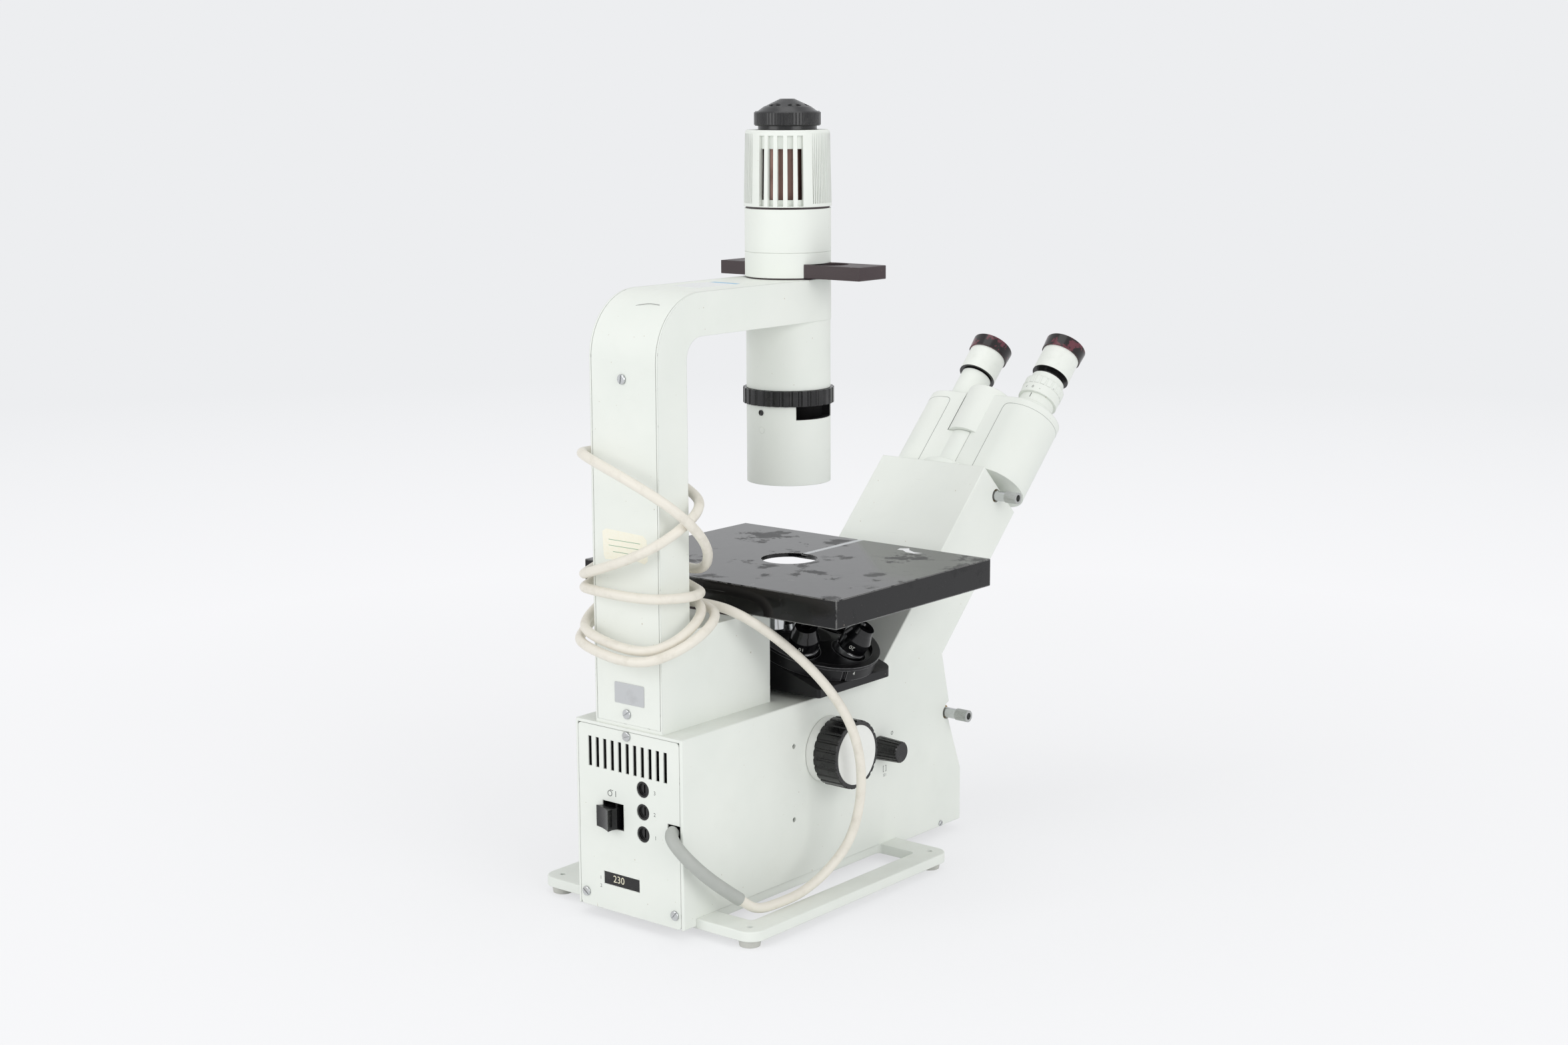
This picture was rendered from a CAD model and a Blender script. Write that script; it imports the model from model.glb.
# %% [markdown]
# # Dressing an inverted microscope
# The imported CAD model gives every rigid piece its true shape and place. This lesson gives the pieces
# their finishes, and adds what a CAD model leaves out: a soft cord, stickers, printed digits and
# scratches. Lengths are in metres, Z is up, and the user sits on the -Y side.

import math

import bmesh
import bpy
from mathutils import Matrix, Vector


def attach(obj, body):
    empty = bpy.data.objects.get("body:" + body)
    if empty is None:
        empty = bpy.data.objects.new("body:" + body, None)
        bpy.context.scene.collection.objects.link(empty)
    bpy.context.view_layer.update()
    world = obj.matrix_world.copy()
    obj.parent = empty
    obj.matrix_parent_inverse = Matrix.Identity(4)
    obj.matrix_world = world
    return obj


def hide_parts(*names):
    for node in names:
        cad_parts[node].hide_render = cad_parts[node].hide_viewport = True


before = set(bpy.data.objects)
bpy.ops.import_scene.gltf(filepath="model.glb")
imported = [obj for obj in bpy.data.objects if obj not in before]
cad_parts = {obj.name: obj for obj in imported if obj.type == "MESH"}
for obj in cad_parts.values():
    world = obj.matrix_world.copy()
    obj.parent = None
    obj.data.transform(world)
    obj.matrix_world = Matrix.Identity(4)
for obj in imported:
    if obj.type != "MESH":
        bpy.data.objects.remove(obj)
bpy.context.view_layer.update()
MM = 0.001

# %% [markdown]
# ## Colours and nodes
# Colours are picked by eye from screens, so they are written as sRGB hex values. Shaders work in
# linear light, so one function turns them. Another adds a shader node with its settings and links.
# The rest are short names for the few things that every surface below is made of: a blend of two
# colours, a stretched range, noise of a given size, a bump and the wear that sits on edges.


# %% Colours and nodes
def linear(hex_colour):
    """An sRGB hex colour as the linear red, green, blue and alpha that a shader takes."""
    parts = [int(hex_colour[i : i + 2], 16) / 255 for i in (1, 3, 5)]
    return [c / 12.92 if c <= 0.04045 else ((c + 0.055) / 1.055) ** 2.4 for c in parts] + [1.0]


def add(tree, kind, inputs=None, **settings):
    """One shader node. Each input gets a value, or a link from another node's output."""
    made = tree.nodes.new("ShaderNode" + kind)
    for name, value in settings.items():
        setattr(made, name, value)
    for name, value in (inputs or {}).items():
        if isinstance(value, bpy.types.NodeSocket):
            tree.links.new(value, made.inputs[name])
        else:
            made.inputs[name].default_value = value
    return made


def start_material(name):
    """A new material, its node tree, its surface shader and the place of a point on the object."""
    material = bpy.data.materials.new(name)
    material.use_nodes = True
    tree = material.node_tree
    place = add(tree, "TexCoord").outputs["Object"]
    return material, tree, tree.nodes["Principled BSDF"], place


def feed(tree, shader, sockets):
    """Link outputs to the surface shader's inputs, by the inputs' names."""
    for name, socket in sockets.items():
        tree.links.new(socket, shader.inputs[name])


print("paint white in linear light:", [round(c, 3) for c in linear("#E6EAE4")])


# %% Short names for what surfaces are made of
def blend(tree, factor, first, second):
    """Two colours mixed by a factor. Each is a hex colour or another node's output."""
    ends = [linear(end) if isinstance(end, str) else end for end in (first, second)]
    mixed = add(tree, "Mix", {"Factor": factor, "A": ends[0], "B": ends[1]}, data_type="RGBA")
    return mixed.outputs["Result"]


def remap(tree, value, low, high, to_low=0.0, to_high=1.0):
    """The range from low to high stretched to another range, and cut off at its ends."""
    ranges = {"From Min": low, "From Max": high, "To Min": to_low, "To Max": to_high}
    return add(tree, "MapRange", {"Value": value, **ranges}).outputs["Result"]


def maths(tree, operation, first, second):
    """Two numbers added, multiplied or compared."""
    return add(tree, "Math", {0: first, 1: second}, operation=operation).outputs["Value"]


def noise(tree, place, size_mm, detail, roughness=0.5):
    """Noise with patches of about the given size."""
    inputs = {"Vector": place, "Scale": 1 / (size_mm * MM), "Detail": detail, "Roughness": roughness}
    return add(tree, "TexNoise", inputs).outputs["Fac"]


def streaks(tree, place, per_metre, turn=(0.0, 0.0, 0.0)):
    """Noise drawn out into fine lines, with this many patches per metre along each axis."""
    drawn = add(tree, "Mapping", {"Vector": place, "Rotation": turn, "Scale": per_metre})
    lines = add(tree, "TexNoise", {"Vector": drawn.outputs["Vector"], "Scale": 1.0, "Detail": 2.0})
    return lines.outputs["Fac"]


def bumped(tree, height, strength, depth_mm, normal):
    """A normal tilted by a height pattern."""
    inputs = {"Height": height, "Strength": strength, "Distance": depth_mm * MM, "Normal": normal}
    return add(tree, "Bump", inputs).outputs["Normal"]


def rounded_normal(tree, radius_mm):
    """The normal as if each edge had a small radius."""
    return add(tree, "Bevel", {"Radius": radius_mm * MM}, samples=4).outputs["Normal"]


def edge_share(tree, rounded, flat, sharp, most=1.0):
    """How near a point is to an edge, from how far the rounded normal parts from the true one."""
    true_normal = add(tree, "NewGeometry").outputs["Normal"]
    likeness = add(tree, "VectorMath", {0: rounded, 1: true_normal}, operation="DOT_PRODUCT")
    return remap(tree, likeness.outputs["Value"], flat, sharp, 0.0, most)


print("helpers for blends, ranges, noise, bumps and edges")

# %% [markdown]
# ## Stove-enamelled castings
# The stand is cast and sheet metal with a baked enamel of a faintly green white. Sprayed enamel
# dries with a fine orange-peel ripple, about a millimetre from crest to crest. Years of handling
# leave grey smears, dust on upward faces, hairline scratches and thin lines where the coat is worn
# at sharp edges, darker on white and paler on black. The Bevel node finds those edges: its rounded
# normal parts from the true one.


# %% One recipe for sprayed and baked enamel
def enamel(
    name,
    coat,
    smear,
    worn,
    roughness=0.42,
    spread=0.22,
    dull_patch=(0.3, 0.8),
    smear_share=0.09,
    scratch_share=0.15,
    dust=None,
    ripple_mm=1.1,
    chipping=0.62,
    specular=0.5,
    speck="#A9987C",
):
    """Sprayed enamel: ripple, smears, specks, scratches, edge wear and dust on faces that look up."""
    material, tree, shader, place = start_material(name)
    shader.inputs["Specular IOR Level"].default_value = specular
    # broad uneven tone, as old paint has
    tone = remap(tree, noise(tree, place, 70, 3.0), 0.35, 0.75)
    colour = blend(tree, tone, *coat)
    # hand smears: soft cloudy patches a few centimetres wide, broken up by finer grime
    cloud = noise(tree, place, 28, 8.0, 0.62)
    smears = remap(tree, cloud, 0.56, 0.78, 0.0, smear_share)
    colour = blend(tree, smears, colour, smear)
    # specks: small dots of old dirt, about a millimetre wide and far apart
    specks = remap(tree, noise(tree, place, 2.6, 1.0), 0.79, 0.83, 0.0, 0.55)
    colour = blend(tree, specks, colour, speck)
    # hairline scratches: noise drawn out to 50 mm one way and cut to its thin crests
    hairs = streaks(tree, place, (1 / 0.05, 1 / 0.0009, 1 / 0.0012), turn=(0.3, 0.5, 0.9))
    scratches = remap(tree, hairs, 0.74, 0.8, 0.0, scratch_share)
    colour = blend(tree, scratches, colour, worn)
    # wear: edges, but only where a patchy noise lets the coat chip
    rounded = rounded_normal(tree, 0.7)
    edge = edge_share(tree, rounded, 0.985, 0.86)
    chipped = remap(tree, noise(tree, place, 6, 6.0), chipping, chipping + 0.1)
    colour = blend(tree, maths(tree, "MULTIPLY", edge, chipped), colour, worn)
    if dust:
        dust_colour, dust_share = dust
        true_normal = add(tree, "NewGeometry").outputs["Normal"]
        facing_up = add(tree, "SeparateXYZ", {"Vector": true_normal}).outputs["Z"]
        lying = remap(tree, facing_up, 0.8, 1.0)
        patches = remap(tree, noise(tree, place, 9, 9.0, 0.7), 0.42, 0.72, 0.0, dust_share)
        colour = blend(tree, maths(tree, "MULTIPLY", lying, patches), colour, dust_colour)
    gloss = remap(tree, cloud, dull_patch[0], dull_patch[1], roughness, roughness + spread)
    ripple = bumped(tree, noise(tree, place, ripple_mm, 2.0), 0.12, 0.12, rounded)
    feed(tree, shader, {"Base Color": colour, "Roughness": gloss, "Normal": ripple})
    return material


WHITE_COAT = ("#ECEFE9", "#E6EAE4")
WHITE_WEAR = ("#CFD1C6", "#9C9E96")
white_enamel = enamel("white_stove_enamel", WHITE_COAT, *WHITE_WEAR, dust=("#DCDCD4", 0.2))
panel_enamel = enamel("white_panel_enamel", WHITE_COAT, *WHITE_WEAR)
tube_enamel = enamel("white_tube_enamel", WHITE_COAT, *WHITE_WEAR)
ribbed_enamel = enamel("white_ribbed_enamel", WHITE_COAT, *WHITE_WEAR, chipping=0.85)
black_enamel = enamel(
    "black_stove_enamel",
    ("#111113", "#18181A"),
    "#2E2E30",
    "#77767A",
    roughness=0.34,
    smear_share=0.3,
    scratch_share=0.4,
    dust=("#5C5A57", 0.35),
    specular=0.3,
    speck="#8A8378",
)
stage_enamel = enamel(
    "worn_black_stage_enamel",
    ("#08080A", "#0B0B0C"),
    "#1A1A1B",
    "#C9C8C6",
    roughness=0.1,
    spread=0.32,
    dull_patch=(0.57, 0.63),
    smear_share=0.06,
    scratch_share=0.3,
    dust=("#8E8C88", 0.08),
    chipping=0.34,
    specular=0.36,
    speck="#8A8378",
)
turret_enamel = enamel(
    "worn_black_turret_enamel",
    ("#0E0E10", "#141416"),
    "#262628",
    "#A4A4A6",
    roughness=0.3,
    smear_share=0.3,
    scratch_share=0.4,
    chipping=0.3,
    specular=0.3,
    speck="#8A8378",
)
brown_anodising = enamel(
    "brown_anodised_aluminium",
    ("#35282B", "#3E3033"),
    "#5A4A4B",
    "#9A8C88",
    roughness=0.4,
    smear_share=0.3,
    ripple_mm=0.5,
    speck="#6A5A50",
)
print("enamels:", white_enamel.name, black_enamel.name, brown_anodising.name)


# %% The spray gun does not reach into slots and bores
PANEL_Y = 255.64
OPTICAL_Y = 73.24
TUBE_R = 31.5


def primed(material, depth, from_mm, to_mm, primer="#141314"):
    """Cover with dark primer past a depth, which an output of the material's own tree measures."""
    tree = material.node_tree
    socket = tree.nodes["Principled BSDF"].inputs["Base Color"]
    painted = socket.links[0].from_socket
    hidden = remap(tree, depth, from_mm * MM, to_mm * MM)
    tree.links.new(blend(tree, hidden, painted, primer), socket)


tree = panel_enamel.node_tree
place = add(tree, "TexCoord").outputs["Object"]
back_to_front = add(tree, "SeparateXYZ", {"Vector": place}).outputs["Y"]
primed(panel_enamel, back_to_front, PANEL_Y - 0.7, PANEL_Y - 1.1)
tree = tube_enamel.node_tree
place = add(tree, "TexCoord").outputs["Object"]
from_axis = add(tree, "VectorMath", {0: place, 1: (0, OPTICAL_Y * MM, 0)}, operation="SUBTRACT")
level = add(tree, "VectorMath", {0: from_axis.outputs["Vector"], 1: (1, 1, 0)}, operation="MULTIPLY")
radius = add(tree, "VectorMath", {0: level.outputs["Vector"]}, operation="LENGTH").outputs["Value"]
primed(tube_enamel, radius, TUBE_R - 0.5, TUBE_R - 0.8)
print("primer shows behind y", PANEL_Y - 0.7, "mm and inside a radius of", TUBE_R - 0.5, "mm")

# %% [markdown]
# ## Moulded plastics and rubber
# Knobs, switch and eyecups are moulded. Moulded plastic copies the mould's fine spark-eroded grain,
# so its highlight is broad and even, and it scuffs lighter at its edges. Rubber is duller still and
# holds pale dust.


# %% One recipe for moulded pieces
def moulded(
    name, colour, scuff, roughness, grain_mm=0.35, grain_height=0.05, scuff_share=0.35, patch=(0.5, 0.8)
):
    """A moulded plastic or rubber: even grain, scuffed edges, and patches of dust or wear."""
    material, tree, shader, place = start_material(name)
    rounded = rounded_normal(tree, 0.4)
    edge = edge_share(tree, rounded, 0.98, 0.85, scuff_share)
    cloud = noise(tree, place, 12, 7.0, 0.65)
    patches = remap(tree, cloud, *patch, 0.0, scuff_share * 0.6)
    worn = blend(tree, maths(tree, "MAXIMUM", edge, patches), colour, scuff)
    gloss = remap(tree, cloud, 0.0, 1.0, roughness - 0.08, roughness + 0.1)
    grain = bumped(tree, noise(tree, place, grain_mm, 2.0), 0.3, grain_height, rounded)
    feed(tree, shader, {"Base Color": worn, "Roughness": gloss, "Normal": grain})
    return material


black_phenolic = moulded("black_moulded_phenolic", "#0D0D0E", "#5A5957", 0.26)
cap_phenolic = moulded("black_turned_phenolic", "#131315", "#6A6967", 0.24, scuff_share=0.45)
white_abs = moulded("white_moulded_abs", "#ECEDE9", "#B9B9B0", 0.3, scuff_share=0.25)
rubber = moulded("black_moulded_rubber", "#161617", "#5C5A57", 0.72, grain_mm=0.6)
cup_rubber = moulded(
    "maroon_black_eyecup_rubber",
    "#120A0C",
    "#7C3A48",
    0.2,
    grain_height=0.01,
    scuff_share=1.0,
    patch=(0.53, 0.56),
)
pale_rubber = moulded("pale_grey_foot_rubber", "#C6C6C0", "#9C9B94", 0.6, grain_mm=0.5)
sleeve_rubber = moulded("grey_sleeve_rubber", "#ADB0AB", "#C9CAC5", 0.5, grain_mm=0.5)
cord_vinyl = moulded("aged_cream_vinyl", "#E8E3D8", "#B0A898", 0.42, grain_mm=0.5, scuff_share=0.6)
print("moulded finishes:", black_phenolic.name, white_abs.name, rubber.name)

# %% [markdown]
# ## Bare metals
# Chromed clamps, turned steel screws and an aluminium plate stay bare. Turning and brushing leave
# fine parallel lines, which stretch a highlight across them. Noise drawn out along them gives both.


# %% One recipe for bare metal
def bare_metal(
    name, colour, roughness, lines=(1.0, 1.0, 1.0), line_mm=0.25, tarnish="#8A8578", tarnish_share=0.3
):
    """Bare metal with fine tool lines and a thin patchy tarnish."""
    material, tree, shader, place = start_material(name)
    shader.inputs["Metallic"].default_value = 1.0
    tool = streaks(tree, place, [share / (line_mm * MM) for share in lines])
    dull = remap(tree, noise(tree, place, 9, 6.0), 0.5, 0.8, 0.0, tarnish_share)
    gloss = remap(tree, tool, 0.0, 1.0, roughness - 0.08, roughness + 0.14)
    grooves = bumped(tree, tool, 0.2, 0.02, rounded_normal(tree, 0.25))
    feed(tree, shader, {"Base Color": blend(tree, dull, colour, tarnish)})
    feed(tree, shader, {"Roughness": gloss, "Normal": grooves})
    return material


chrome = bare_metal("satin_chromed_brass", "#C6C8C9", 0.2, (0.02, 0.02, 1.0))
turned_steel = bare_metal("turned_steel", "#C9CBCC", 0.22, (1.0, 0.03, 0.03))
plate_aluminium = bare_metal(
    "brushed_aluminium_plate", "#C9CBCC", 0.34, (0.02, 1.0, 1.0), tarnish="#9C9D9D"
)
bronze = bare_metal("bearing_bronze", "#9A7A45", 0.35)
iron = bare_metal("laminated_iron", "#55504C", 0.5, (0.02, 0.02, 1.0), line_mm=0.8)
copper = bare_metal(
    "heat_tinted_copper", "#8A6E66", 0.38, (1.0, 1.0, 0.02), tarnish="#4A3630", tarnish_share=0.6
)
print("metals:", chrome.name, turned_steel.name, plate_aluminium.name)

# %% [markdown]
# ## Glass and mirror
# Lenses are polished and coated. Glass needs little more than its index of refraction, and the
# coating's faint tint comes from the base colour. Specks of dust keep it from looking computed.


# %% Glass, mirror and lens coating
def glass(name, colour, transmission=1.0):
    """Polished glass with a little dust on it."""
    material, tree, shader, place = start_material(name)
    specks = remap(tree, noise(tree, place, 2.5, 5.0), 0.66, 0.74, 0.03, 0.35)
    feed(tree, shader, {"Roughness": specks})
    shader.inputs["Base Color"].default_value = linear(colour)
    shader.inputs["IOR"].default_value = 1.52
    shader.inputs["Transmission Weight"].default_value = transmission
    return material


clear_glass = glass("polished_crown_glass", "#E8F0EE")
coated_glass = glass("coated_eye_lens_glass", "#C9B6D8", 0.85)
silvered = bare_metal("front_silvered_mirror", "#E2E4E6", 0.12, tarnish_share=0.1)
print("glass:", clear_glass.name, coated_glass.name)

# %% [markdown]
# ## Pieces with two finishes
# An objective is chromed at its foot and black above it. An eyepiece has a black neck below its white
# sleeve, and a pull rod a matt knurled end. The boundary is a plane across the piece, so the distance
# along its axis, a dot product, says which finish a point has. The objectives stand square on the
# cone of a tilted turret, so their axes come from its tilt.

# %% Turret and head geometry, in millimetres
TURRET_TILT = math.radians(18.0)
TURRET_CENTRE = Vector((-26.0, OPTICAL_Y, 183.7135))
turret_axis = Vector((-math.sin(TURRET_TILT), 0, math.cos(TURRET_TILT)))
turret_across = Vector((math.cos(TURRET_TILT), 0, math.sin(TURRET_TILT)))
# each objective's turn on the turret in degrees, its reach in millimetres, and the digits on it
OBJECTIVES = {
    "objective_low": (18.0, 17.0, "4"),
    "objective_mid": (108.0, 22.0, "10"),
    "objective_high": (198.0, 24.0, "20"),
}
EYE_HALF = 35.7
EYE_DROP = 10.4
HEAD_ORIGIN = Vector((0, -134.155, 271.045))
head_axis = Vector((0, -1, 1)).normalized()
head_up = Vector((0, 1, 1)).normalized()
left_eye = HEAD_ORIGIN + Vector((-EYE_HALF, 0, 0)) - head_up * EYE_DROP


def turret_outward(turn_deg):
    """The way out from the turret's middle at a turn."""
    turn = math.radians(turn_deg)
    return turret_across * math.cos(turn) + turret_axis.cross(turret_across) * math.sin(turn)


def objective_axis(turn_deg):
    """Where an objective's axis leaves the turret, and its direction."""
    out = turret_outward(turn_deg)
    seat = TURRET_CENTRE + out * (-TURRET_CENTRE.x / math.cos(TURRET_TILT))
    return seat, turret_axis * math.cos(TURRET_TILT) + out * math.sin(TURRET_TILT)


print("axis of the low objective:", [round(c, 3) for c in objective_axis(18.0)[1]])


# %% Two finishes on one piece
CHANGE_MM = 0.15


def two_finishes(name, start_mm, axis, foot, body):
    """A surface that changes past a plane. A look is a colour, a worn one, metallic and roughness."""
    material, tree, shader, place = start_material(name)
    from_start = add(tree, "VectorMath", {0: place, 1: Vector(start_mm) * MM}, operation="SUBTRACT")
    along = add(tree, "VectorMath", {0: from_start.outputs["Vector"], 1: axis}, operation="DOT_PRODUCT")
    past = remap(tree, along.outputs["Value"], 0.0, CHANGE_MM * MM)
    cloud = noise(tree, place, 4, 6.0)
    handled = remap(tree, cloud, 0.52, 0.8, 0.0, 0.35)
    low, high = (blend(tree, handled, look[0], look[1]) for look in (foot, body))
    metal = remap(tree, past, 0.0, 1.0, foot[2], body[2])
    gloss = remap(tree, past, 0.0, 1.0, foot[3], body[3])
    uneven = remap(tree, cloud, 0.0, 1.0, -0.05, 0.08)
    feed(tree, shader, {"Base Color": blend(tree, past, low, high), "Metallic": metal})
    feed(tree, shader, {"Roughness": maths(tree, "ADD", gloss, uneven)})
    feed(tree, shader, {"Normal": rounded_normal(tree, 0.25)})
    return material


CHROME_LOOK = ("#C6C8C9", "#8F8B80", 1.0, 0.16)
GLOSSY_BLACK_LOOK = ("#0E0E10", "#2A2A2C", 0.0, 0.14)
BLACK_NECK_LOOK = ("#0C0B0C", "#241A1C", 0.0, 0.18)
PAINT_LOOK = ("#ECEFE9", "#DCDFD8", 0.0, 0.38)
POLISHED_LOOK = ("#C9CBCC", "#A9A79F", 1.0, 0.14)
KNURLED_LOOK = ("#B9BBB9", "#9A9A96", 1.0, 0.42)
CHROME_FOOT_MM = 3.0
two_part_finishes = {}
for objective, (turn_deg, _, words) in OBJECTIVES.items():
    seat, lean = objective_axis(turn_deg)
    name = "chromed_foot_black_barrel_" + words
    finish = two_finishes(name, seat + lean * CHROME_FOOT_MM, lean, CHROME_LOOK, GLOSSY_BLACK_LOOK)
    two_part_finishes[finish] = objective
ROD_KNURL_X = -61.6
rod_metal = two_finishes(
    "polished_rod_matt_knurl", (ROD_KNURL_X, 0, 0), (-1, 0, 0), POLISHED_LOOK, KNURLED_LOOK
)
for eyepiece, sleeve_low in (("left_eyepiece", 125.4), ("right_eyepiece", 119.2)):
    lower_rim = HEAD_ORIGIN + head_axis * sleeve_low
    name = "black_neck_white_" + eyepiece
    finish = two_finishes(name, lower_rim, head_axis, BLACK_NECK_LOOK, PAINT_LOOK)
    two_part_finishes[finish] = eyepiece
print("two-part finishes:", len(two_part_finishes) + 1)

# %% [markdown]
# ## Give every CAD node its finish
# A table pairs each finish with the nodes that have it. A node that is in no row would stay grey,
# so the cell prints any that are left.

# %% Finishes for the CAD nodes
FINISHES = {
    white_enamel: (
        "base_housing foot_plate arm_casting column_cover lamp_collar filter_holder condenser_upper "
        "prism_housing_left prism_housing_right left_tube right_tube head_flange diopter_ring"
    ),
    tube_enamel: "condenser_lower",
    panel_enamel: "rear_panel",
    ribbed_enamel: "lamp_house",
    black_enamel: "nosepiece_bracket optics_mounts",
    turret_enamel: "turret",
    stage_enamel: "stage_plate",
    cap_phenolic: "lamp_cap",
    brown_anodising: "spacer_rings filter_slider stage_support",
    black_phenolic: (
        "focus_knob_left focus_knob_right selector_knob aperture_ring panel_inserts switch_rocker"
    ),
    white_abs: "knob_trims",
    rubber: "lamp_lead power_plug",
    pale_rubber: "rubber_feet",
    cup_rubber: "left_eyecup right_eyecup",
    chrome: "stage_clamps",
    turned_steel: "slotted_screws foot_screws focus_shaft",
    rod_metal: "lower_pull_rod upper_pull_rod",
    plate_aluminium: "blank_plate",
    bronze: "shaft_bushes",
    iron: "transformer",
    copper: "lamp_shroud",
    silvered: "main_mirror",
    clear_glass: "fixed_lenses filter_glasses lamp_bulb",
    coated_glass: "left_eye_lens right_eye_lens",
    cord_vinyl: "power_cord",
    sleeve_rubber: "strain_relief",
}
FINISHES.update(two_part_finishes)
left_over = set(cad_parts)
for finish, names in FINISHES.items():
    for name in names.split():
        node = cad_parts[name]
        node.data.materials.clear()
        node.data.materials.append(finish)
        left_over.discard(name)
print("nodes without a finish:", sorted(left_over))

# %% [markdown]
# ## Stickers, prints and scratches
# Paper stickers, the bright strip in the stage groove and the printed digits are all thin sheets on
# a surface. Each is drawn flat in its own plane, given a thickness, and then laid on its spot by one
# matrix: x runs along the reading direction, y is upwards, z points out of the surface.


# %% Inks and papers
def printed_ink(name, colour, roughness=0.5):
    """Pad-printed ink or paper: one colour that fades a little in patches of two millimetres."""
    material, tree, shader, place = start_material(name)
    faded = remap(tree, noise(tree, place, 2, 5.0), 0.45, 0.8, 0.0, 0.3)
    feed(tree, shader, {"Base Color": blend(tree, faded, *colour)})
    shader.inputs["Roughness"].default_value = roughness
    return material


grey_ink = printed_ink("grey_pad_print", ("#5B5C5B", "#8A8B87"))
dark_ink = printed_ink("black_engraving_fill", ("#2A2A2A", "#4A4A48"))
white_ink = printed_ink("white_engraving_fill", ("#D8D8D2", "#A8A79E"))
dial_ink = printed_ink("ivory_dial_print", ("#E9E4CC", "#C9C3A8"))
green_ink = printed_ink("green_label_frame", ("#7FA88C", "#B4C6B0"))
cream_paper = printed_ink("aged_cream_paper", ("#F6F3E4", "#EDE3C2"), 0.6)
pale_paper = printed_ink("torn_white_paper", ("#E9EBEC", "#C4BBB2"), 0.6)
blue_paper = printed_ink("faded_blue_paper", ("#8FBEDD", "#C2D8E4"), 0.6)
white_chip = printed_ink("white_primer_chip", ("#F4F4F6", "#E4E4E6"), 0.5)
bare_chip = printed_ink("bare_metal_chip", ("#D9D9D6", "#9E9D99"), 0.35)


# %% Lay thin pieces on a surface
def spot(origin_mm, right, up):
    """The matrix that lays a flat drawing on a surface, with its x along right and y along up."""
    right, up = Vector(right).normalized(), Vector(up).normalized()
    turn = Matrix((right, up, right.cross(up))).transposed()
    return Matrix.Translation(Vector(origin_mm) * MM) @ turn.to_4x4()


def round_spot(centre_mm, axis, outward, radius_mm, height_mm, flip=1):
    """The same on a round wall: outward is roughly the way that the mark faces."""
    axis = Vector(axis).normalized()
    outward = (Vector(outward) - axis * axis.dot(Vector(outward))).normalized()
    origin = Vector(centre_mm) + axis * height_mm + outward * radius_mm
    return spot(origin, (axis * flip).cross(outward), axis * flip)


def made_mesh(shape, name):
    """A mesh from a shape that was drawn, which is then let go."""
    mesh = bpy.data.meshes.new(name)
    shape.to_mesh(mesh)
    shape.free()
    return mesh


def settle(name, mesh, place, materials, body):
    """Turn a mesh drawn at the origin into a piece on its spot, riding a body."""
    mesh.transform(place)
    mesh.materials.clear()
    for material in materials:
        mesh.materials.append(material)
    piece = bpy.data.objects.new(name, mesh)
    bpy.context.scene.collection.objects.link(piece)
    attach(piece, body)
    return piece


def lifted(shape, faces, height):
    """Extrude flat faces upwards by a height."""
    raised = bmesh.ops.extrude_face_region(shape, geom=faces)["geom"]
    corners = [part for part in raised if isinstance(part, bmesh.types.BMVert)]
    bmesh.ops.translate(shape, verts=corners, vec=(0, 0, height))


FRAME_LINE_MM = 0.35
INK_MM = 0.03
# digits are this share of their font's size high
DIGIT_SHARE = 0.72


def sheet(name, corners_mm, thickness_mm, place, materials, margin_mm=None):
    """A thin sheet on the stand. A margin adds a printed frame line in the second material."""
    shape = bmesh.new()
    face = shape.faces.new([shape.verts.new((x * MM, y * MM, 0)) for x, y in corners_mm])
    if margin_mm:
        bmesh.ops.inset_region(shape, faces=[face], thickness=margin_mm * MM)
        ring = bmesh.ops.inset_region(shape, faces=[face], thickness=FRAME_LINE_MM * MM)["faces"]
        for part in ring:
            part.material_index = 1
    lifted(shape, shape.faces[:], thickness_mm * MM)
    bmesh.ops.recalc_face_normals(shape, faces=shape.faces)
    settle(name, made_mesh(shape, name), place, materials, "stand")


def oblong(half_wide, half_high):
    """The corners of an upright rectangle around the origin."""
    return [
        (-half_wide, -half_high),
        (half_wide, -half_high),
        (half_wide, half_high),
        (-half_wide, half_high),
    ]


def digits(name, words, height_mm, place, material, body):
    """Printed characters, as a thin mesh."""
    words_curve = bpy.data.curves.new(name, "FONT")
    words_curve.body = words
    words_curve.align_x = "CENTER"
    words_curve.align_y = "CENTER"
    words_curve.size = height_mm * MM / DIGIT_SHARE
    words_curve.extrude = INK_MM * MM
    words_curve.resolution_u = 3
    mesh = bpy.data.meshes.new_from_object(bpy.data.objects.new(name + "_drawn", words_curve))
    settle(name, mesh, place, [material], body)


print("sheets and digits are drawn flat and laid by a matrix")

# %% Rear panel prints and the dial digits
BACKWARD = ((-1, 0, 0), (0, 0, 1))
for name, words, height_mm, x, z in (
    ("print_tilde", "~", 4.5, 16.8, 98.6),
    ("print_off", "O", 4.6, 18.4, 95.6),
    ("print_on", "I", 4.6, 12.7, 96.0),
    ("print_fuse_3", "3", 3.0, -25.1, 103.7),
    ("print_fuse_2", "2", 3.0, -24.8, 87.8),
    ("print_fuse_1", "1", 3.0, -25.4, 70.8),
    ("print_row_1", "1", 2.7, 28.8, 30.6),
    ("print_row_2", "2", 2.7, 28.7, 24.4),
):
    digits(name, words, height_mm, spot((x, PANEL_Y, z), *BACKWARD), grey_ink, "stand")
dial = spot((11.5, PANEL_Y - 0.5, 31.6), *BACKWARD)
digits("dial_digits", "230", 5.4, dial, dial_ink, "stand")
print("rear panel prints lie at y", PANEL_Y, "mm")

# %% Prints beside the selector, on the turret, the objectives and the dioptre ring
LEFTWARD = ((0, -1, 0), (0, 0, 1))
CHEEK_X = 51.3
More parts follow.
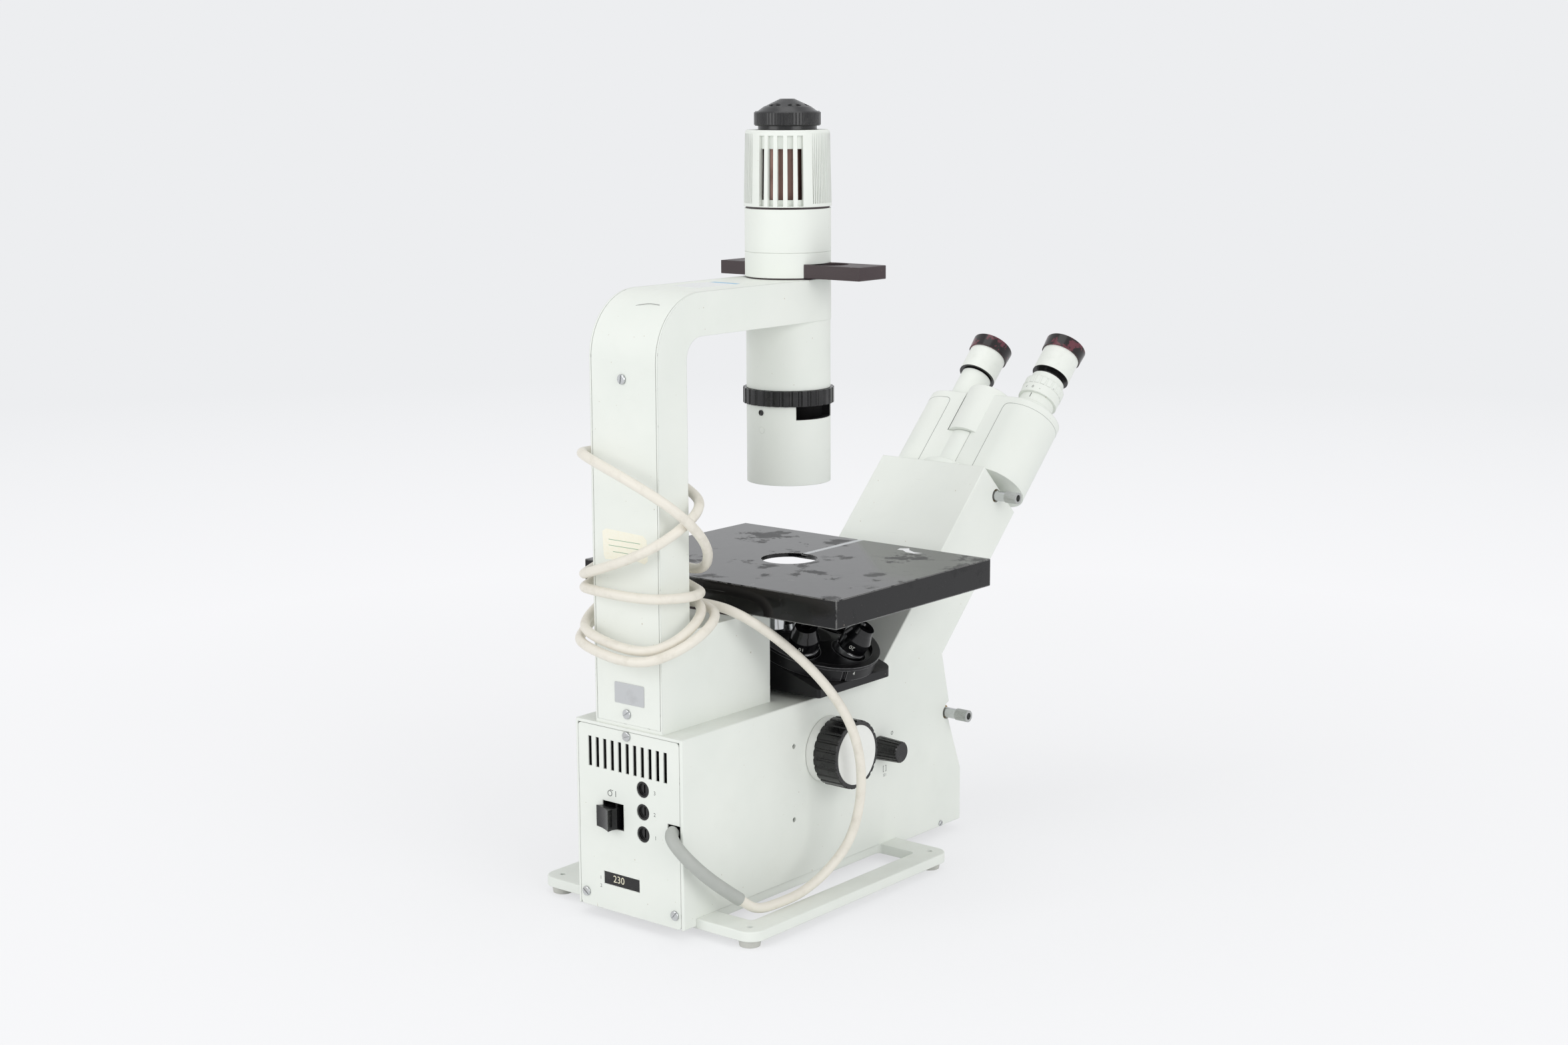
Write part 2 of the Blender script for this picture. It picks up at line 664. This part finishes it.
# the turret's rim, and how far below the turret's centre its digits lie
RIM_R = 48.8
RIM_DROP = 5.4
# an objective's barrel, and the share of its reach at which its digits lie
BARREL_R = 11.2
BARREL_SHARE = 0.36
for name, words, height_mm, y, z in (
    ("print_closed", "\u00d8", 3.0, 10.9, 99.2),
    ("print_window", "[ ]", 4.0, 20.3, 73.2),
    ("print_steps", "321", 2.2, 20.3, 67.6),
):
    digits(name, words, height_mm, spot((-CHEEK_X, y, z), *LEFTWARD), grey_ink, "stand")
for count, words in enumerate("3412"):
    place = round_spot(TURRET_CENTRE, turret_axis, turret_outward(78.0 + 90.0 * count), RIM_R, -RIM_DROP)
    digits("turret_digit_" + str(count + 1), words, 3.0, place, white_ink, "revolver")
for objective, (turn_deg, reach_mm, words) in OBJECTIVES.items():
    seat, lean = objective_axis(turn_deg)
    for side, facing in (("back", (-0.5, 0.85, -0.1)), ("front", (0.5, -0.85, 0.1))):
        place = round_spot(seat, lean, facing, BARREL_R, BARREL_SHARE * reach_mm, flip=-1)
        name = objective + "_digits_" + side
        digits(name, words, 3.2, place, white_ink, "revolver")
for name, words, turn_deg, radius_mm, height_mm, size_mm, body in (
    ("dioptre_plus", "+", 253.0, 16.8, 101.8, 2.6, "dioptre"),
    ("dioptre_zero", "0", 275.0, 16.8, 101.8, 2.6, "dioptre"),
    ("dioptre_minus", "-", 297.0, 16.8, 101.8, 2.6, "dioptre"),
    ("dioptre_dot", ".", 333.0, 17.1, 109.0, 4.6, "dioptre"),
    ("dioptre_index", "I", 277.0, 14.9, 94.4, 4.6, "left_head"),
):
    outward = Matrix.Rotation(math.radians(turn_deg), 3, head_axis) @ Vector((-1, 0, 0))
    place = round_spot(left_eye, head_axis, outward, radius_mm, height_mm)
    digits(name, words, size_mm, place, dark_ink, body)
print("digits on the turret, objectives and dioptre ring")

# %% The sticker on the column
COVER_Y = 254.14
STICKER_MM = 0.15
RULE_MM = 0.02
STICKER_EDGE = [
    (-20.5, -8.0),
    (-19.0, -10.8),
    (12.0, -9.0),
    (18.5, -10.2),
    (21.5, -7.6),
    (20.5, 7.0),
    (17.0, 9.8),
    (-18.0, 11.2),
    (-21.5, 9.0),
]
place = spot((0.9, COVER_Y, 277.8), *BACKWARD)
sheet("service_sticker", STICKER_EDGE, STICKER_MM, place, [cream_paper, green_ink], margin_mm=1.5)
for row, (line_z, line_half) in enumerate(((281.6, 15.0), (277.4, 15.0), (273.2, 11.0))):
    place = spot((1.4, COVER_Y + STICKER_MM, line_z), *BACKWARD)
    sheet("sticker_line_" + str(row + 1), oblong(line_half, 0.2), RULE_MM, place, [green_ink])
print("a sticker with a frame and three ruled lines")

# %% The torn label on the arm
ARM_TOP = 454.6
LABEL_MM = 0.12
STRIP_MM = 0.03
ACROSS_ARM = ((0, -1, 0), (1, 0, 0))
LABEL_EDGE = [(-22.5, -11.5), (22.0, -14.0), (24.5, 13.0), (4.0, 18.5), (-20.5, 14.0)]
STRIP_EDGE = [(17.0, -13.4), (21.6, -13.6), (24.0, 12.6), (19.5, 13.6)]
sheet("arm_label", LABEL_EDGE, LABEL_MM, spot((1.5, 164.0, ARM_TOP), *ACROSS_ARM), [pale_paper])
place = spot((1.5, 164.0, ARM_TOP + LABEL_MM), *ACROSS_ARM)
sheet("arm_label_strip", STRIP_EDGE, STRIP_MM, place, [blue_paper])
print("a torn label with a blue strip, on the arm at z", ARM_TOP, "mm")

# %% The strip in the stage's groove, a chip and three scratches
GROOVE_FLOOR = 240.66
GROOVE_STRIP_MM = 0.5
STAGE_TOP = 241.2
CHIP_MM = 0.03
SCRATCH_MM = 0.02
CHIP_EDGE = [
    (-12.5, 1.0),
    (-8.5, 7.0),
    (-2.5, 3.0),
    (6.0, 1.6),
    (13.0, 4.6),
    (10.5, -1.6),
    (2.5, -3.6),
    (-5.0, -1.4),
    (-9.5, -3.6),
]
place = spot((2.0, 16.2, GROOVE_FLOOR), (1, 0, 0), (0, 1, 0))
sheet("groove_strip", oblong(2.4, 35.0), GROOVE_STRIP_MM, place, [plate_aluminium])
place = spot((-54.6, -4.4, STAGE_TOP), (-0.94, 0.34, 0), (-0.34, -0.94, 0))
sheet("stage_chip", CHIP_EDGE, CHIP_MM, place, [white_chip])
for number, (x, y, long_mm, wide_mm, turn_deg) in enumerate(
    ((-52.0, 135.0, 6.0, 0.35, 40.0), (-39.0, 163.0, 5.0, 0.3, 75.0), (17.0, 59.0, 8.0, 0.3, 20.0))
):
    turn = math.radians(turn_deg)
    along = (math.cos(turn), math.sin(turn), 0)
    across = (-math.sin(turn), math.cos(turn), 0)
    edge = [(-long_mm / 2, 0), (-long_mm / 5, -wide_mm / 2), (long_mm / 2, 0.1), (long_mm / 6, wide_mm / 2)]
    place = spot((x, y, STAGE_TOP), along, across)
    sheet("stage_scratch_" + str(number + 1), edge, SCRATCH_MM, place, [bare_chip])
print("groove strip, one chip and three scratches")

# %% [markdown]
# ## Slotted screws
# The panel and the column's cover are held by screws with low domed heads. A dome with a slot is
# two half discs with rounded rims, standing a slot apart on a thinner disc. One head is made, and a
# copy goes to each place. A small black grub screw with a round socket sits under the iris ring, and
# a painted disc covers an empty screw hole below it.


# %% Model one head
HEAD_R = 3.6 * MM
HEAD_H = 1.6 * MM
RIM_ROUND = 0.8 * MM
SLOT = 0.9 * MM
FLOOR_H = 0.7 * MM


def disc(radius, segments):
    """A flat disc around the origin."""
    shape = bmesh.new()
    bmesh.ops.create_circle(shape, cap_ends=True, segments=segments, radius=radius)
    return shape


def half_head(side):
    """Half of the dome, beside the slot."""
    half = disc(HEAD_R, 40)
    parts = half.verts[:] + half.edges[:] + half.faces[:]
    slot_wall = {"plane_co": (0, side * SLOT / 2, 0), "plane_no": (0, -side, 0)}
    bmesh.ops.bisect_plane(half, geom=parts, clear_outer=True, **slot_wall)
    bmesh.ops.translate(half, verts=half.verts, vec=(0, 0, FLOOR_H / 2))
    lifted(half, half.faces[:], HEAD_H - FLOOR_H / 2)
    rim = []
    for edge in half.edges:
        lowest = min(corner.co.z for corner in edge.verts)
        if edge.calc_length() < HEAD_R / 2 and lowest > FLOOR_H:
            rim.append(edge)
    bmesh.ops.bevel(half, geom=rim, offset=RIM_ROUND, segments=4, profile=0.5, affect="EDGES", material=-1)
    return made_mesh(half, "half_head")


whole = disc(HEAD_R, 40)
lifted(whole, whole.faces[:], FLOOR_H)
for side in (-1, 1):
    whole.from_mesh(half_head(side))
bmesh.ops.recalc_face_normals(whole, faces=whole.faces)
screw_head = made_mesh(whole, "screw_head")
print("one slotted head of", len(screw_head.polygons), "faces")


# %% Copy the head to its places
def head_copies(places):
    """One mesh with a copy of the head at each place."""
    screws = bmesh.new()
    for place in places:
        one = screw_head.copy()
        one.transform(place)
        screws.from_mesh(one)
    return made_mesh(screws, "slotted_screw_heads")


head_places = []
for x, y, z, turn_deg in (
    (1.0, PANEL_Y, 141.0, 15.0),
    (43.0, PANEL_Y, 17.5, -35.0),
    (-43.0, PANEL_Y, 17.5, 50.0),
    (1.1, COVER_Y, 395.8, 80.0),
    (1.5, COVER_Y, 156.9, 35.0),
):
    turn = math.radians(turn_deg)
    right = (-math.cos(turn), 0, math.sin(turn))
    up = (math.sin(turn), 0, math.cos(turn))
    head_places.append(spot((x, y, z), right, up))
SMALL_HEAD = 0.66
for side in (-1, 1):
    place = spot((side * CHEEK_X, -54.56, 10.1), (0, side * 0.8, 0.6), (0, -side * 0.6, 0.8))
    head_places.append(place @ Matrix.Scale(SMALL_HEAD, 4))
still = Matrix.Identity(4)
mesh = head_copies(head_places)
heads = settle("slotted_screw_heads", mesh, still, [turned_steel], "stand")
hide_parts("slotted_screws")
print(len(head_places), "slotted heads")

# %% The grub screw and the disc over the hole
GRUB_R = 2.1 * MM
GRUB_H = 0.7 * MM
SOCKET_WALL = 0.9 * MM
SOCKET_DEPTH = 0.35 * MM
FILLER_R = 2.5 * MM
FILLER_H = 0.4 * MM
TUBE_BACK_Y = OPTICAL_Y + TUBE_R
grub = disc(GRUB_R, 32)
lifted(grub, grub.faces[:], GRUB_H)
top = max(grub.faces, key=lambda face: face.calc_center_median().z)
bmesh.ops.inset_region(grub, faces=[top], thickness=SOCKET_WALL)
bmesh.ops.translate(grub, verts=top.verts, vec=(0, 0, -SOCKET_DEPTH))
bmesh.ops.recalc_face_normals(grub, faces=grub.faces)
# both start a little inside the tube's round wall
place = spot((0.5, TUBE_BACK_Y - 0.08, 356.0), *BACKWARD)
settle("grub_screw", made_mesh(grub, "grub_screw"), place, [black_phenolic], "stand")
filler = disc(FILLER_R, 32)
lifted(filler, filler.faces[:], FILLER_H)
place = spot((0, TUBE_BACK_Y - 0.3, 343.0), *BACKWARD)
settle("filled_hole", made_mesh(filler, "filled_hole"), place, [white_enamel], "stand")
print("one grub screw, and one hole filled and painted over")

# %% [markdown]
# ## The mains cord
# A cord is one long curve with a round section. A NURBS curve of order three touches the middle of
# each run between its control points and rounds each corner, just as the CAD tube does, so it takes
# the same route points. The grey sleeve around its first stretch is a second, thicker curve.


# %% Draw the cord and its sleeve
def tube(name, points_mm, radius_mm, material):
    """A NURBS curve through runs between the points, thickened to a tube."""
    curve = bpy.data.curves.new(name, "CURVE")
    curve.dimensions = "3D"
    curve.bevel_depth = radius_mm * MM
    curve.bevel_resolution = 5
    curve.resolution_u = 8
    curve.use_fill_caps = True
    spline = curve.splines.new("NURBS")
    spline.points.add(len(points_mm) - 1)
    for point, place in zip(spline.points, points_mm):
        point.co = [c * MM for c in place] + [1.0]
    spline.order_u = 3
    spline.use_endpoint_u = True
    made = bpy.data.objects.new(name, curve)
    bpy.context.scene.collection.objects.link(made)
    curve.materials.append(material)
    return made


outlet = (-42.3, PANEL_Y, 78.8)
sleeve_route = [
    outlet,
    (-44.3, 262.64, 78.2),
    (-58.0, 262.84, 66.0),
    (-70.0, 244.84, 44.0),
    (-76.3, 223.84, 27.9),
]
cord_route = [
    (-80.35, 210.34, 17.1),
    (-83.0, 186.84, 17.0),
    (-82.5, 161.84, 17.2),
    (-86.0, 136.84, 27.0),
    (-92.0, 115.84, 47.0),
    (-96.0, 108.84, 76.0),
    (-98.0, 110.84, 106.0),
    (-95.0, 116.84, 133.0),
    (-87.0, 126.84, 157.0),
    (-75.0, 140.84, 180.0),
    (-62.0, 162.0, 203.5),
    (-50.0, 186.0, 223.2),
    (-26.0, 191.0, 229.7),
    (26.0, 194.0, 228.0),
    (50.0, 215.0, 226.0),
    (52.0, 247.5, 208.7),
    (29.0, 273.0, 207.0),
    (-28.0, 275.5, 199.7),
    (-52.5, 253.5, 211.5),
    (-54.0, 220.0, 226.0),
    (-31.0, 198.7, 231.1),
    (25.0, 201.5, 233.0),
    (46.0, 219.0, 234.0),
    (46.5, 249.0, 219.5),
    (27.0, 268.5, 214.3),
    (-27.0, 268.5, 206.3),
    (-45.5, 249.0, 216.4),
    (-43.5, 222.0, 230.3),
    (-25.5, 208.5, 236.3),
    (25.0, 208.0, 247.5),
    (46.0, 222.0, 250.0),
    (46.0, 248.84, 243.4),
    (27.0, 268.84, 247.1),
    (-27.0, 268.84, 246.1),
    (-46.0, 248.84, 245.9),
    (-43.5, 222.5, 244.7),
    (-25.0, 208.5, 243.9),
    (25.0, 206.0, 257.0),
    (46.0, 222.0, 260.0),
    (46.0, 248.84, 252.5),
    (27.0, 268.84, 257.6),
    (-26.0, 268.84, 276.5),
    (-45.0, 249.84, 292.4),
    (-43.0, 222.5, 305.2),
    (-25.0, 208.0, 312.5),
    (25.0, 206.0, 330.0),
    (46.0, 222.0, 339.0),
    (46.0, 248.84, 340.5),
    (27.0, 268.84, 342.6),
    (-28.0, 273.84, 327.6),
    (-53.0, 253.84, 306.1),
    (-50.5, 222.0, 278.2),
    (-27.0, 202.5, 254.3),
    (16.0, 196.0, 258.0),
    (46.0, 188.0, 276.0),
    (58.0, 183.0, 324.0),
    (48.0, 184.0, 352.0),
    (26.0, 186.5, 352.0),
    (26.0, 186.5, 330.0),
]
CORD_RADIUS_MM = 3.6
SLEEVE_RADIUS_MM = 4.8
cord = tube("mains_cord", sleeve_route + cord_route, CORD_RADIUS_MM, cord_vinyl)
sleeve = tube("cord_sleeve", sleeve_route, SLEEVE_RADIUS_MM, sleeve_rubber)
for piece, node_name, slot_name in (
    (cord, "power_cord", "cord_vinyl"),
    (sleeve, "strain_relief", "grey_rubber"),
):
    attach(piece, "stand")
    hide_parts(node_name)

# %% [markdown]
# ## Seams of the head's cover plates
# Each half of the head is closed by a curved cover plate, and its edge shows as a hairline seam. A
# thin curve laid along the seam, half sunk in the paint, draws it. The seam runs up beside the hinge,
# turns a corner and goes round the drum. A grey scuff on the bend of the column is drawn so too.


# %% Hairlines
def hairline(name, points_mm, radius_mm, material, body):
    """A very thin tube that follows points on a surface."""
    made = tube(name, points_mm, radius_mm, material)
    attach(made, body)


DRUM_R = 26.5
SEAM_X = 27.0
SEAM_TOP = 75.6
SEAM_MM = 0.16
SCUFF_MM = 0.14
for side, body in ((-1, "left_head"), (1, "right_head")):
    seam = [(SEAM_X, DRUM_R, height) for height in (9.0, 30.0, 52.0, 66.0, 71.5)]
    seam += [(SEAM_X + 1.2, DRUM_R, SEAM_TOP - 1.0), (SEAM_X + 4.4, DRUM_R, SEAM_TOP)]
    for turn_deg in range(90, 241, 10):
        turn = math.radians(turn_deg)
        seam.append((EYE_HALF - DRUM_R * math.cos(turn), DRUM_R * math.sin(turn), SEAM_TOP))
    path = []
    for x, y, z in seam:
        path.append(HEAD_ORIGIN + Vector((side * x, 0, 0)) + head_up * (y - EYE_DROP) + head_axis * z)
    hairline("cover_seam_" + body, path, SEAM_MM, grey_ink, body)
SCUFF = [
    (4.0, 235.9, 445.1),
    (0.5, 235.2, 446.1),
    (-6.0, 234.2, 447.0),
    (-12.0, 234.1, 447.1),
    (-17.0, 234.4, 446.6),
]
hairline("bend_scuff", SCUFF, SCUFF_MM, grey_ink, "stand")
print("two seams and one scuff")

# %% [markdown]
# ## Camera, floor and light
# The camera stands where the photograph was taken from: behind the instrument and to its left, a
# little above it. The floor and the world are pale. To the camera and in mirrors both show a plain
# white, and otherwise they light the object at a level where colours look as written. Near the
# instrument the floor keeps part of its own shading, so that the soft shadow under it shows.

# %% The camera
PHOTO_WIDTH = 2353
FOCAL_PIXELS = 3614.19
SENSOR_MM = 36.0
TURN = math.radians(219.29)
TILT = math.radians(10.51)
ROLL = math.radians(-0.27)
CAMERA_PLACE = (-1.13273, 1.4638, 0.60153)
away = Vector((math.sin(TURN) * math.cos(TILT), -math.cos(TURN) * math.cos(TILT), math.sin(TILT)))
level = Vector((math.cos(TURN), math.sin(TURN), 0))
upright = away.cross(level)
right = math.cos(ROLL) * level + math.sin(ROLL) * upright
up = -math.sin(ROLL) * level + math.cos(ROLL) * upright
camera_data = bpy.data.cameras.new("photo_camera")
camera_data.sensor_width = SENSOR_MM
camera_data.lens = FOCAL_PIXELS / PHOTO_WIDTH * SENSOR_MM
camera = bpy.data.objects.new("photo_camera", camera_data)
turned = Matrix((right, up, away)).transposed().to_4x4()
camera.matrix_world = Matrix.Translation(CAMERA_PLACE) @ turned
bpy.context.scene.collection.objects.link(camera)
bpy.context.scene.camera = camera
print("lens", round(camera_data.lens, 2), "mm")

# %% The world and the floor
BACKDROP = "#EDEEF0"
ROOM_STRENGTH = 0.66


def is_ray(tree, *kinds):
    """Whether a ray is one of these kinds."""
    path = add(tree, "LightPath").outputs
    share = path[kinds[0]]
    for kind in kinds[1:]:
        share = maths(tree, "MAXIMUM", share, path[kind])
    return share


world = bpy.data.worlds.new("white_room")
bpy.context.scene.world = world
world.use_nodes = True
tree = world.node_tree
tree.nodes.clear()
seen = is_ray(tree, "Is Camera Ray", "Is Glossy Ray", "Is Transmission Ray")
backdrop = add(tree, "Background", {"Color": linear(BACKDROP), "Strength": 1.0})
room = add(tree, "Background", {"Color": linear("#F6F7F7"), "Strength": ROOM_STRENGTH})
shown = {"Fac": seen, 1: room.outputs["Background"], 2: backdrop.outputs["Background"]}
both = add(tree, "MixShader", shown)
add(tree, "OutputWorld", {"Surface": both.outputs["Shader"]})

paper, tree, shader, place = start_material("white_paper_floor")
shader.inputs["Base Color"].default_value = linear("#F2F3F4")
shader.inputs["Roughness"].default_value = 0.9
shader.inputs["Specular IOR Level"].default_value = 0.1
reach = add(tree, "VectorMath", {0: place}, operation="LENGTH").outputs["Value"]
# the plain white is at 60 % up to 0.3 m from the middle and full from 1.1 m
fade = remap(tree, reach, 0.3, 1.1, 0.6, 1.0)
sweep = blend(tree, remap(tree, reach, 0.6, 3.0), "#FAFAFC", BACKDROP)
share = maths(tree, "MULTIPLY", is_ray(tree, "Is Camera Ray", "Is Glossy Ray"), fade)
glow = add(tree, "Emission", {"Color": sweep, "Strength": 1.0}).outputs["Emission"]
both = add(tree, "MixShader", {"Fac": share, 1: shader.outputs["BSDF"], 2: glow})
tree.links.new(both.outputs["Shader"], tree.nodes["Material Output"].inputs["Surface"])

FLOOR_RADIUS = 6.0
floor_mesh = made_mesh(disc(FLOOR_RADIUS, 96), "paper_floor")
floor_mesh.materials.append(paper)
floor = bpy.data.objects.new("paper_floor", floor_mesh)
bpy.context.scene.collection.objects.link(floor)
print("floor radius", FLOOR_RADIUS, "m")


# %% Soft lamps
AIM_HEIGHT = 0.28


def soft_lamp(name, place, size, watts):
    """A square area lamp that faces the instrument."""
    lamp = bpy.data.lights.new(name, "AREA")
    lamp.size = size
    lamp.energy = watts
    made = bpy.data.objects.new(name, lamp)
    aim = Vector((0, 0, AIM_HEIGHT)) - Vector(place)
    made.matrix_world = Matrix.Translation(place) @ aim.to_track_quat("-Z", "Y").to_matrix().to_4x4()
    bpy.context.scene.collection.objects.link(made)


soft_lamp("key_softbox", (-2.5, 0.7, 1.1), 1.6, 22.0)
soft_lamp("fill_softbox", (0.8, 2.6, 1.1), 1.8, 22.0)
soft_lamp("top_softbox", (0.0, 0.0, 2.8), 1.8, 12.0)
bpy.context.scene.view_settings.view_transform = "Standard"
print("three soft lamps")
